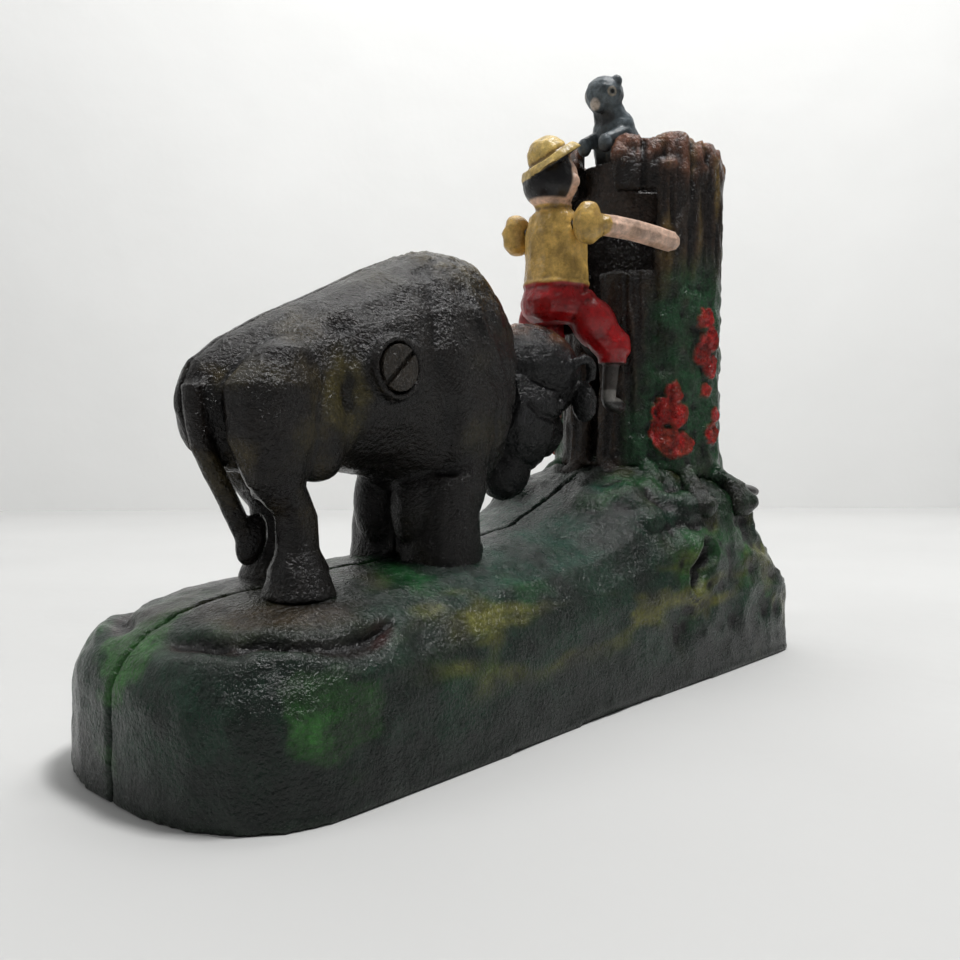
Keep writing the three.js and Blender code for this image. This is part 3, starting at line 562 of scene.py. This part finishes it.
bison_enamel = enamel("bison_enamel", gloss=(0.1, 0.3), shine=0.32, grain=1.0)
px, pz = PIVOT[0], PIVOT[2]
for side, sign in SIDES.items():
    node = f"bison_body_{side}_half"
    lead = STAGGER if sign > 0 else 0
    parts = [
        copy_of(node, node + "_copy"),
        ball((px - 17.5 + lead * 0.6, sign * 8.2, pz - 6.5), (9.6, 4.4, 11), (0, 16, 0)),
        ball((px - 12.5 + lead * 0.6, sign * 9.4, pz - 9), (7.8, 4.0, 9.5), (0, 8, 0)),
        ball((px + 17, sign * 10.2, pz - 4), (8, 5.2, 14), (0, -12, 0)),
        ball((px + 20, sign * 8.6, pz - 19), (5.6, 5.2, 10)),
        ball((px + 14, sign * 5.2, pz - 24), (6.2, 5, 9)),
        rod((px + 17, sign * 7, DECK - 1), (px + 17.5, sign * 7.5, DECK + 17), 7.8, 6.2),
        rod((px - 23 + lead, sign * 6.6, pz - 3), (px - 20 + lead, sign * 8, pz - 20), 4.8, 3.4),
        ball((px - 19.6 + lead, sign * HOOF_Y, pz - 16.5), (3.6, 3.3, 6), (0, 18, 0)),
        rod((px - 16.5 + lead, sign * HOOF_Y, DECK - 1),
            (px - 16.6 + lead, sign * HOOF_Y, DECK + 6), 6.2, 3.6),
    ]
    bison = weld(f"bison_casting_{side}", parts, voxel=0.5, smooth=4)
    pick(bison)
    bpy.ops.object.mode_set(mode="EDIT")
    bpy.ops.mesh.select_all(action="SELECT")
    bpy.ops.mesh.bisect(
        plane_co=(0, sign * SEAM * MM, 0), plane_no=(0, -sign, 0), clear_outer=True, use_fill=True)
    bpy.ops.object.mode_set(mode="OBJECT")
    sculpt(bison, bison_relief)
    bison_paint(bison)
    finish_piece(bison, "casting", "bison_paint", bison_enamel, node)

body_screw = copy_of("bison_body_screw", "flank_screw")
modify(body_screw, "BEVEL", width=0.25 * MM, segments=2, limit_method="ANGLE", angle_limit=math.radians(40))
brush(body_screw, flood(len(body_screw.data.vertices), (0.03, 0.024, 0.018)))
finish_piece(body_screw, "casting", "bison_paint", bison_enamel, "bison_body_screw")
pick(body_screw)
bpy.ops.object.shade_smooth_by_angle(angle=math.radians(35))


# ---- Bison head ------------------------------------------------------------------------------
HEAD = (px + 50.5, DECK + 37)


def head_relief(at, out):
    x, y, z = at.T
    hx, hz = HEAD
    side = np.abs(y)
    flat = np.stack([x, z], 1)
    rearward = np.hypot(x - PIVOT[0], z - PIVOT[2]) < 39.9
    crown = ramp(z, hz + 1, hz + 5)
    beard = 1 - ramp(z, hz - 15, hz - 12)
    move = (0.03 + 0.16 * crown + 0.10 * beard) * shag(at, 3.5, 1.0, 81) + 0.10 * layered(at, 2.5, 2, 82)
    creases = [
        [(hx - 9.5, hz - 6.6), (hx - 7.4, hz - 9), (hx - 2.5, hz - 9.9), (hx + 3.5, hz - 9.6)],
        [(hx - 1, hz - 12.6), (hx + 5, hz - 12.2)],
        [(hx - 8, hz - 1.5), (hx - 4.5, hz - 3.4), (hx + 0.5, hz - 3.8)],
    ]
    for crease, depth in zip(creases, (0.7, 0.5, 0.4)):
        move -= depth * np.exp(-((near_path(flat, crease) / 0.65) ** 2)) * ramp(side, 2.5, 5)
    eye = np.hypot(x - hx + 1.2, z - hz + 6.6)
    move += (0.6 * dome(eye, 1.2) - 0.4 * np.exp(-(((eye - 1.6) / 0.4) ** 2))) * (side > 5)
    nostril = np.hypot(x - hx - 5.6, z - hz + 12)
    move -= 0.6 * dome(nostril, 0.9) * (side > 2)
    cup = np.linalg.norm(np.stack([x - hx - 5.4, side - 14, z - hz + 6], 1) / (1.5, 1.6, 3.2), axis=1)
    move -= 0.8 * dome(cup, 1)
    return np.where(rearward, 0, move)


def head_paint(thing):
    at = places(thing)
    pit = hollowness(thing, 4)
    z = at[:, 2]
    hz = HEAD[1]
    colour = flood(len(at), (0.010, 0.010, 0.0105))
    colour = mix(colour, (0.028, 0.028, 0.030), ramp(layered(at, 4, 3, 91), 0, 0.8) * 0.6)
    crown = ramp(z + 0.2 * at[:, 0], hz + 3, hz + 8)
    colour = mix(colour, (0.190, 0.085, 0.040), crown * ramp(layered(at, 3, 2, 92), -0.6, 0.4) * 0.8)
    # painted shade in the hollows
    colour = mix(colour, BLACK, ramp(pit, 0.0, 0.08) * 0.9)
    brush(thing, colour)


hx, hz = HEAD
head_parts = [copy_of("bison_head", "bison_head_copy")]
for sign in SIDES.values():
    head_parts.append(ball((hx - 3.5, sign * 5.4, hz - 6.5), (6, 5, 6)))
    head_parts.append(ball((hx + 3, sign * 2.4, hz - 12.4), (3.8, 2.8, 3.4)))
head_parts.append(ball((hx - 3.4, 0, hz - 15), (7, 5.6, 6)))
head_parts.append(ball((hx - 7.6, 0, hz - 20.2), (6, 5, 6.2), (0, 18, 0)))
head_parts.append(ball((hx - 0.4, 0, hz + 0.4), (12, 10.8, 9.9), (0, 14, 0), 48, 28))
bison_head = weld("bison_head_casting", head_parts, voxel=0.33, smooth=5)
sculpt(bison_head, head_relief)
head_paint(bison_head)
finish_piece(bison_head, "head", "bison_paint", bison_enamel, "bison_head")


# ---- Tree trunk ------------------------------------------------------------------------------
def trunk_angle(at):
    return np.degrees(np.arctan2(at[:, 1], at[:, 0] - TREE_X))


PETALS = [  # turn about the trunk, height and size of each petal
    (-129, 58, 3.3), (-120, 57, 3.0), (-127, 51, 3.5), (-116, 50.5, 3.0), (-134, 53.5, 2.3), (-123, 62, 2.4),
    (-96, 79, 2.6), (-91, 74.5, 3.0), (-97, 70.5, 2.8), (-90, 68, 2.9), (-94, 63, 2.2), (-88, 53, 2.7),
    (-84, 57, 2.0), (126, 58, 3.3), (117, 56, 3.0), (123, 51, 3.4), (131, 53, 2.5), (95, 77, 2.8),
    (90, 72, 3.0), (96, 68, 2.7), (84, 54, 2.6),
]


def blossom_field(at):
    """How far each place lies inside the rambling blossoms, and the petals' own ridges."""
    angle = trunk_angle(at)
    share = np.zeros(len(at))
    ragged = 0.9 * noise(at / 1.7, 98)
    fold = np.full(len(at), 9.0)
    for turn, height, size in PETALS:
        aside = np.radians(((angle - turn + 180) % 360) - 180) * 19.5
        reach = np.hypot(aside, at[:, 2] - height) + ragged
        share = np.maximum(share, 1 - ramp(reach, size - 0.5, size + 0.2))
        fold = np.minimum(fold, np.abs(reach - 0.55 * size))
    return share, np.clip(fold, 0, 1.2)


def leafy_share(at):
    angle = np.abs(trunk_angle(at))
    edge = 148 - 0.62 * np.maximum(at[:, 2] - 55, 0)
    low = 1 - ramp(at[:, 2] + 3 * noise(at / 6, 101), 82, 95)
    return (1 - ramp(angle + 8 * noise(at / 7, 102), edge - 4, edge + 10)) * low


def bark_relief(at, out):
    x, y, z = at.T
    radius = np.hypot(x - TREE_X, y)
    outer = (radius > 17.2) & ~((np.abs(y) < 0.6) & (np.abs(out[:, 1]) > 0.7))
    angle = np.radians(trunk_angle(at))
    wander = 0.9 * noise(np.stack([x, y, z * 0.5], 1) / 8, 103)
    strip = np.stack([np.cos(angle) * 19.5, np.sin(angle) * 19.5, (z + 4 * wander) / 9], axis=1)
    fissure = 0.8 * (1 - 2 * np.abs(noise(strip / 2.3, 104)))
    fissure = fissure + 0.6 * (1 - 2 * np.abs(noise(strip / 1.15, 105)))
    leafy = leafy_share(at)
    top = ramp(z, DECK + 80, DECK + 86)
    move = 0.55 * fissure * (1 - 0.65 * leafy) + 0.12 * layered(at, 1.6, 2, 106)
    move += top * (0.9 * layered(at, 3.6, 2, 107) + 0.25)
    move += leafy * 0.55 * layered(at, 3.6, 2, 108)
    share, fold = blossom_field(at)
    move += share * (0.35 + 0.5 * fold)
    foot = 1 - ramp(z, DECK + 13, DECK + 22)
    move += foot * 0.8 * ridged(np.stack([x, y, z * 0.35], 1), 7, 2, 109)
    return np.where(outer, move, 0)


def bark_paint(thing):
    at = places(thing)
    x, y, z = at.T
    pit = hollowness(thing)
    colour = flood(len(at), (0.013, 0.009, 0.007))
    # painted highlight: lighter brown on the bark's ridges
    ridge = ramp(-pit, 0.0, 0.12)
    colour = mix(colour, (0.052, 0.032, 0.019), ridge * 0.5)
    rim = ramp(z + 4 * noise(at * (1, 1, 0.35) / 5, 111), DECK + 78, DECK + 89)
    # rust paint on the top rim, stronger on the ridges as a painted highlight
    colour = mix(colour, RUST, rim * (0.35 + 0.65 * ridge))
    drip = ramp(layered(at * (1, 1, 0.22), 4, 2, 112), 0.05, 0.6) * ramp(z, DECK + 50, DECK + 74)
    turn = np.abs(trunk_angle(at))
    colour = mix(colour, (0.200, 0.130, 0.035), drip * 0.65 * (1 - rim * 0.5) * (turn < 160))
    leafy = leafy_share(at) * (0.35 + 0.65 * ramp(layered(at, 5, 2, 113), -0.5, 0.2))
    colour = mix(colour, (0.014, 0.070, 0.026), leafy * 0.85)
    share, _ = blossom_field(at)
    colour = mix(colour, FLOWER_RED, share * (0.65 + 0.35 * ramp(layered(at, 2, 2, 114), -0.5, 0.5)))
    # painted shade in the hollows
    colour = mix(colour, BLACK, ramp(pit, 0.03, 0.16) * 0.9)
    colour = mix(colour, BLACK, (1 - ramp(z, DECK + 12, DECK + 19)) * 0.7)
    mouth = ramp(turn, 128, 138) * ramp(z, DECK + 54, DECK + 60) * (1 - ramp(z, DECK + 84, DECK + 88))
    colour = mix(colour, BLACK, mouth * 0.9)
    inside = np.hypot(x - TREE_X, y) < 17
    brush(thing, np.where(inside[:, None], flood(len(at), (0.014, 0.011, 0.01)), colour))


bark_enamel = enamel("bark_enamel", gloss=(0.1, 0.3), shine=0.34, grain=1.0)
for side in SIDES:
    node = f"tree_trunk_{side}_half"
    parts = [copy_of(node, node + "_copy")]
    for turn, reach, lift in ((166, 25, 9), (140, 25, 10), (112, 26.5, 8.5), (84, 25.5, 9)):
        lean = math.radians(SIDES[side] * turn)
        start = (TREE_X + 18.2 * math.cos(lean), 18.2 * math.sin(lean), DECK + 8 + lift)
        out = math.radians(SIDES[side] * (turn + 9 * math.cos(turn)))
        end = (TREE_X + reach * math.cos(out), reach * math.sin(out), DECK + 8.5)
        parts.append(rod(start, end, 1.5, 2.8))
        parts.append(ball(end, (3.2, 3.2, 2.4)))
    trunk = weld(f"tree_casting_{side}", parts, voxel=0.5, smooth=3)
    sculpt(trunk, bark_relief)
    bark_paint(trunk)
    finish_piece(trunk, "casting", "bark_paint", bark_enamel, node)

ledge = weld("coin_ledge", [copy_of("raccoon_carriage", "carriage_copy")], voxel=0.4, smooth=2)
sculpt(ledge, lambda at, out: 0.12 * layered(at, 2.2, 2, 121))
ledge_brown = flood(len(ledge.data.vertices), (0.03, 0.022, 0.018))
# painted shade: the ledge is darkened in its hollows
brush(ledge, mix(ledge_brown, BLACK, ramp(hollowness(ledge), 0, 0.1)))
finish_piece(ledge, "raccoon", "bark_paint", bark_enamel, "raccoon_carriage")


# ---- Raccoon ---------------------------------------------------------------------------------
RAC_X = TREE_X - TRUNK_RADIUS + 4.4


def raccoon_paint(thing):
    at = places(thing)
    x, y, z = at.T
    pit = hollowness(thing, 4)
    colour = flood(len(at), SLATE)
    colour = mix(colour, (0.055, 0.062, 0.066), ramp(layered(at, 2.2, 3, 131), 0, 0.8) * 0.6)
    muzzle = np.linalg.norm((at - (RAC_X - 4.6, 0, DECK + 98.6)) / (1.5, 1.5, 1.5), axis=1)
    colour = mix(colour, PALE, 1 - ramp(muzzle, 0.75, 1.15))
    # painted shade under the chin
    throat = np.linalg.norm((at - (RAC_X - 1.8, 0, DECK + 96.2)) / (3, 3.6, 1.6), axis=1)
    colour = mix(colour, (0.02, 0.02, 0.022), (1 - ramp(throat, 0.7, 1.2)) * 0.9)
    eye = np.linalg.norm(np.stack([x - RAC_X + 2.6, np.abs(y) - 3.6, z - DECK - 101.2], 1), axis=1)
    colour = mix(colour, (0.36, 0.31, 0.24), (1 - ramp(np.abs(eye - 0.9), 0.12, 0.32)) * 0.85)
    colour = mix(colour, BLACK, 1 - ramp(eye, 0.45, 0.65))
    # painted shade in the hollows
    colour = mix(colour, BLACK, ramp(pit, 0.01, 0.08) * 0.8)
    colour = mix(colour, BLACK, (1 - ramp(z, DECK + 87, DECK + 90)) * 0.95)
    brush(thing, colour)


raccoon_parts = [copy_of("raccoon", "raccoon_copy")]
raccoon_parts.append(ball((RAC_X + 3.4, 0, DECK + 94.5), (4.4, 5.2, 5)))
raccoon = weld("raccoon_casting", raccoon_parts, voxel=0.25, smooth=8)
sculpt(raccoon, lambda at, out: 0.08 * layered(at, 1.6, 2, 133))
raccoon_paint(raccoon)
raccoon_enamel = enamel("raccoon_enamel", gloss=(0.3, 0.5), shine=0.35, grain=0.4, speckle=(0.7, 1.2))
finish_piece(raccoon, "raccoon", "raccoon_paint", raccoon_enamel, "raccoon")


# ---- Boy -------------------------------------------------------------------------------------
HAT = np.array((BOY_X - 2.9, 0, DECK + 82.9))
HAT_TIP = math.radians(33)
HAT_TURN = math.radians(30)
HEAD_MID = np.array((BOY_X - 2.2, 0, DECK + 78.8))


def hat_frame(at):
    """Places measured from the hat's middle, with the third value up out of the crown."""
    local = at - HAT
    fore = local[:, 0] * math.cos(HAT_TURN) - local[:, 1] * math.sin(HAT_TURN)
    aside = local[:, 0] * math.sin(HAT_TURN) + local[:, 1] * math.cos(HAT_TURN)
    along = fore * math.cos(HAT_TIP) + local[:, 2] * math.sin(HAT_TIP)
    up = -fore * math.sin(HAT_TIP) + local[:, 2] * math.cos(HAT_TIP)
    return np.stack([along, aside, up], axis=1)


def boy_paint(thing):
    at = places(thing)
    x, y, z = at.T
    pit = hollowness(thing, 4)
    colour = flood(len(at), MUSTARD)
    belt = DECK + 56.4 + 0.25 * noise(at / 3, 141)
    colour = mix(colour, TROUSER_RED, 1 - ramp(z, belt - 0.2, belt + 0.2))
    lower_leg = (np.abs(y) > 6.5) & (z < DECK + 40.6) & (x < BOY_X + 12.4)
    colour = mix(colour, (0.060, 0.052, 0.046), lower_leg * (1 - ramp(z, DECK + 39.4, DECK + 39.8)))
    colour = mix(colour, (0.20, 0.19, 0.175), lower_leg * (1 - ramp(z, DECK + 33.5, DECK + 34)))
    colour = mix(colour, (0.02, 0.018, 0.017), lower_leg * (1 - ramp(z, DECK + 31, DECK + 31.6)))
    colour = mix(colour, FLESH, ramp(z, DECK + 73, DECK + 73.4))
    hat = hat_frame(at)
    hairline = ramp(x - 0.15 * (z - HEAD_MID[2]), HEAD_MID[0] - 0.6, HEAD_MID[0])
    hair = ramp(z, DECK + 74.0, DECK + 74.6) * (1 - hairline)
    colour = mix(colour, (0.005, 0.004, 0.005), hair)
    straw = (hat[:, 2] > -0.9) & (z > DECK + 74)
    colour = mix(colour, STRAW, straw * 1.0)
    # painted shade in the hollows, brown on the jacket and dark red on the trousers
    crevice_shade = ramp(pit, 0.0, 0.06)
    colour = mix(colour, (0.120, 0.062, 0.018), crevice_shade * (z > belt) * (1 - hair * (1 - straw)) * 0.75)
    colour = mix(colour, (0.06, 0.008, 0.008), crevice_shade * (z < belt) * 0.8)
    stain = ramp(layered(at, 4.5, 3, 142), 0.2, 0.9) * 0.45
    colour = mix(colour, (0.230, 0.120, 0.030), stain * (z > belt) * (1 - hair * (1 - straw)))
    brush(thing, colour)


def boy_relief(at, out):
    x, y, z = at.T
    move = 0.07 * layered(at, 2.4, 3, 151)
    jacket = ramp(z, DECK + 57, DECK + 58) * (1 - ramp(z, DECK + 71, DECK + 72))
    folds = ridged(np.stack([x * 0.9, y, z * 0.3], 1), 3.4, 2, 152)
    move += jacket * 0.22 * folds
    trousers = (1 - ramp(z, DECK + 54, DECK + 56)) * ramp(z, DECK + 40, DECK + 42)
    move += trousers * 0.15 * ridged(at * (1, 1, 1.4), 4.2, 2, 153)
    hem = np.exp(-(((z - DECK - 56.6) / 0.7) ** 2))
    move += 0.45 * hem * (np.abs(y) < 9) * (x < BOY_X + 5)
    hat = hat_frame(at)
    band = np.exp(-(((hat[:, 2] - 1.1) / 0.4) ** 2)) * (np.hypot(hat[:, 0], hat[:, 1]) < 6)
    move -= 0.25 * band * (z > DECK + 74)
    dent = np.hypot(hat[:, 0] - 0.4, hat[:, 1] + 1.2)
    move -= 0.7 * dome(dent, 1.8) * (hat[:, 2] > 3)
    sag = np.hypot(hat[:, 0], hat[:, 1])
    move += 0.35 * noise(hat / 3.2, 154) * (sag > 5.2) * (np.abs(hat[:, 2]) < 1.6) * (z > DECK + 76)
    return move


bx = BOY_X
boy_parts = [
    copy_of("boy_body", "boy_copy"),
    ball((bx - 1.0, 0, DECK + 52.6), (7.2, 7.6, 4.4), (0, 0, 0)),
    ball((bx - 2.9, 0, DECK + 78.0), (5.9, 5.9, 5.6)),
    ball((bx + 3.1, 0, DECK + 78.0), (0.8, 0.8, 1.3)),
    ball((bx + 2.0, 0, DECK + 75.4), (1.4, 2.2, 1.4)),
    ring((bx - 1.7, 0, DECK + 73.4), 3.3, 0.8),
    ball((bx - 1.4, -5.9, DECK + 78.0), (1.2, 0.6, 1.5)),
    ball((bx - 1.4, 5.9, DECK + 78.0), (1.2, 0.6, 1.5)),
]
for sign in SIDES.values():
    boy_parts.append(ball((bx + 3.6, sign * 7.2, DECK + 48.2), (6.6, 4.7, 4.8), (0, 42, 0)))
    boy_parts.append(ball((bx + 6.7, sign * 10.0, DECK + 43.2), (3.9, 3.8, 4.3)))
    boy_parts.append(rod((bx + 6.6, sign * 10.0, DECK + 42), (bx + 6.5, sign * 10.0, DECK + 39.4), 3.3, 3.0))
boy = weld("boy_casting", boy_parts, voxel=0.3, smooth=6)
sculpt(boy, boy_relief)
boy_paint(boy)
boy_enamel = enamel("boy_enamel", gloss=(0.24, 0.42), shine=0.45, grain=0.3, speckle=(0.8, 1.12))
finish_piece(boy, "boy", "boy_paint", boy_enamel, "boy_body")

SHOULDER = np.array((BOY_X - 2.2, 9.6, DECK + 68.4))
for side, sign in SIDES.items():
    node = f"boy_{side}_arm"
    arm = weld(f"boy_arm_{side}", [
        copy_of(node, node + "_copy"),
        ball((SHOULDER[0], sign * 9.9, SHOULDER[2]), (3.4, 2.9, 4.4), (0, 0, 0)),
    ], voxel=0.28, smooth=2)
    sculpt(arm, lambda at, out: 0.07 * layered(at, 2, 2, 161)
           + 0.3 * ridged(at, 3.0, 1, 162) * (1 - ramp(at[:, 0], SHOULDER[0] + 2.6, SHOULDER[0] + 3.4)))
    at = places(arm)
    pit = hollowness(arm, 4)
    cuff = SHOULDER[0] + 3.2
    colour = mix(flood(len(at), MUSTARD), FLESH, ramp(at[:, 0], cuff - 0.2, cuff + 0.2))
    colour = mix(colour, (0.24, 0.13, 0.05), ramp(layered(at, 3, 3, 163), 0.1, 0.9) * 0.45)
    # painted shade in the hollows
    colour = mix(colour, (0.10, 0.05, 0.018), ramp(pit, 0, 0.07) * 0.8)
    brush(arm, colour)
    finish_piece(arm, "boy", "boy_paint", boy_enamel, node)


# ---- Lever and the plain iron pieces ---------------------------------------------------------
lever_iron = iron("lever_iron", (0.012, 0.011, 0.010), (0.035, 0.030, 0.027), (0.25, 0.45), 0.35)
lever = weld("thumb_lever_casting", [copy_of("thumb_lever", "thumb_lever_copy")], voxel=0.4, smooth=3)
finish_piece(lever, "lever", "bare_iron", lever_iron, "thumb_lever")

cast = iron("japanned_iron", (0.015, 0.014, 0.013), (0.050, 0.045, 0.040))
steel = iron("old_steel", (0.070, 0.065, 0.060), (0.160, 0.150, 0.135), (0.3, 0.5), 0.9)
for material, nodes in {
    cast: ["base_plate", "coin_trap_door", "boy_slide", "rocker"],
    steel: ["base_plate_screw_1", "base_plate_screw_2", "base_plate_screw_3", "base_plate_screw_4",
            "coin_trap_rivet", "lever_pivot_pin", "tree_screw_right", "tree_screw_left", "rocker_pin",
            "push_wire", "shoulder_rivet", "boy_slide_rivet", "raccoon_rivet"],
}.items():
    for node in nodes:
        thing = frame["nodes"][node]
        thing.data.materials.clear()
        thing.data.materials.append(material)


# ---- Stage, light and camera -----------------------------------------------------------------
deselect()
bpy.ops.mesh.primitive_plane_add(size=8)
floor = bpy.context.object
floor.name = "floor"
bpy.ops.mesh.primitive_plane_add(size=8)
backdrop = bpy.context.object
backdrop.name = "backdrop"
backdrop.location = (0.305, 0.30, 0)
backdrop.rotation_euler = (math.radians(90), 0, math.radians(-45))
settle()


def pale_cloth(name, low, high):
    cloth, tree, shader, where = new_material(name)
    pale = [(0.3, (low, low, low * 0.985)), (0.7, (high, high, high * 0.985))]
    tree.links.new(add_ramp(tree, add_noise(tree, where, 4, 3), pale), shader.inputs["Base Color"])
    shader.inputs["Roughness"].default_value = 0.9
    add_bump(tree, shader, [(add_noise(tree, where, 18, 4), 0.25, 4.0)])
    return cloth


floor.data.materials.append(pale_cloth("pale_cloth", 0.54, 0.60))
backdrop.data.materials.append(pale_cloth("pale_wall", 0.84, 0.90))

bpy.context.scene.view_settings.view_transform = "Standard"
world = bpy.data.worlds.new("studio")
bpy.context.scene.world = world
world.use_nodes = True
world.node_tree.nodes["Background"].inputs["Color"].default_value = (0.86, 0.87, 0.88, 1)
world.node_tree.nodes["Background"].inputs["Strength"].default_value = 0.2


def softbox(name, at, size, power, aim=(0, 0, 0.06)):
    light = bpy.data.lights.new(name, "AREA")
    light.shape = "RECTANGLE"
    light.size, light.size_y = size
    light.energy = power
    thing = bpy.data.objects.new(name, light)
    bpy.context.collection.objects.link(thing)
    thing.location = at
    thing.rotation_euler = (Vector(aim) - Vector(at)).to_track_quat("-Z", "Y").to_euler()


softbox("overhead", (0.12, -0.2, 1.0), (0.2, 0.2), 7.8)
softbox("left_fill", (-0.9, 0.5, 0.8), (0.5, 0.5), 2.2)
softbox("backdrop_wash", (0.12, 0.1, 0.75), (0.7, 0.3), 2.0, (0.33, 0.33, 0.12))

camera_data = bpy.data.cameras.new("camera")
camera_data.lens = 36
camera_data.sensor_width = 36
camera_data.clip_start = 0.01
camera = bpy.data.objects.new("camera", camera_data)
bpy.context.collection.objects.link(camera)
camera.location = (-0.162, -0.131, 0.0543)
camera.rotation_euler = Vector((0.736, 0.677, -0.055)).to_track_quat("-Z", "Y").to_euler()
bpy.context.scene.camera = camera
